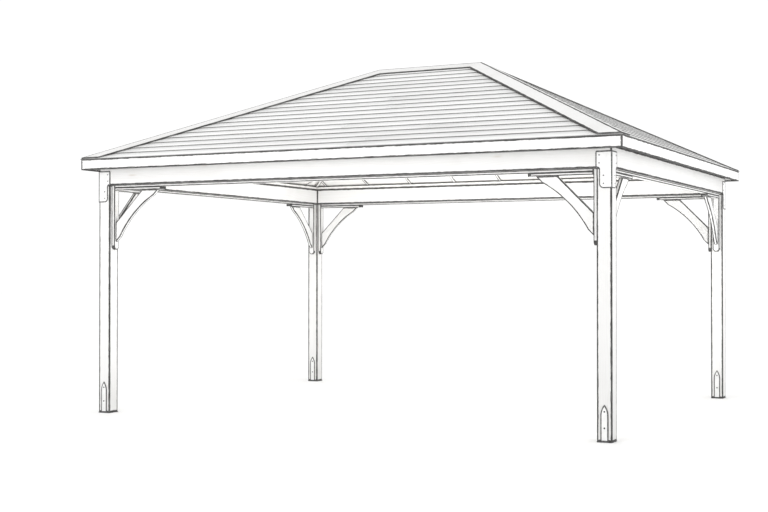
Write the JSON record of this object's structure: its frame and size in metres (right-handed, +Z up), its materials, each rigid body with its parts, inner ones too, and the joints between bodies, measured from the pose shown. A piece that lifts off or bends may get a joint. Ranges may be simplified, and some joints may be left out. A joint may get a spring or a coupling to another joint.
{
  "type": "garden pavilion",
  "caption": "Open timber garden pavilion: square posts on steel feet, beams with curved knee braces and a hip roof with flat hip and ridge caps.",
  "frame": {"origin": "on the ground at the middle of the plan", "axes": "+Z up, +X along the length, front at -Y"},
  "size_m": [5.91, 4.91, 3.8324],
  "materials": {
    "frame_timber": "opaque white stain, satin",
    "roof_frame_timber": "white stain, matte",
    "trim_timber": "opaque white stain, satin",
    "roof_covering": "white stained courses, matte",
    "bracket_steel": "white powder coat",
    "foot_steel": "white powder coat"
  },
  "bodies": {
    "root": {"post_front_left": "frame_timber", "post_front_right": "frame_timber", "post_back_left": "frame_timber", "post_back_right": "frame_timber", "post_foot_front_left": "foot_steel", "post_foot_front_right": "foot_steel", "post_foot_back_left": "foot_steel", "post_foot_back_right": "foot_steel", "corner_bracket_front_left": "bracket_steel", "corner_bracket_front_right": "bracket_steel", "corner_bracket_back_left": "bracket_steel", "corner_bracket_back_right": "bracket_steel", "beam_front": "frame_timber", "beam_back": "frame_timber", "beam_left": "frame_timber", "beam_right": "frame_timber", "top_plates_long": "roof_frame_timber", "top_plates_short": "roof_frame_timber", "beam_liners": "frame_timber", "beam_strips": "frame_timber", "post_strips": "frame_timber", "knee_braces_front": "frame_timber", "knee_braces_back": "frame_timber", "knee_braces_left": "frame_timber", "knee_braces_right": "frame_timber", "rafters_long": "roof_frame_timber", "rafters_end": "roof_frame_timber", "hip_rafters": "roof_frame_timber", "ridge_board": "roof_frame_timber", "ceiling_long": "roof_frame_timber", "ceiling_end": "roof_frame_timber", "roof_front": "roof_covering", "roof_back": "roof_covering", "roof_left": "roof_covering", "roof_right": "roof_covering", "fascia_front": "trim_timber", "fascia_back": "trim_timber", "fascia_left": "trim_timber", "fascia_right": "trim_timber", "hip_caps_front": "trim_timber", "hip_caps_back": "trim_timber", "hip_caps_left": "trim_timber", "hip_caps_right": "trim_timber", "ridge_cap_front": "trim_timber", "ridge_cap_back": "trim_timber"}
  },
  "joints": []
}
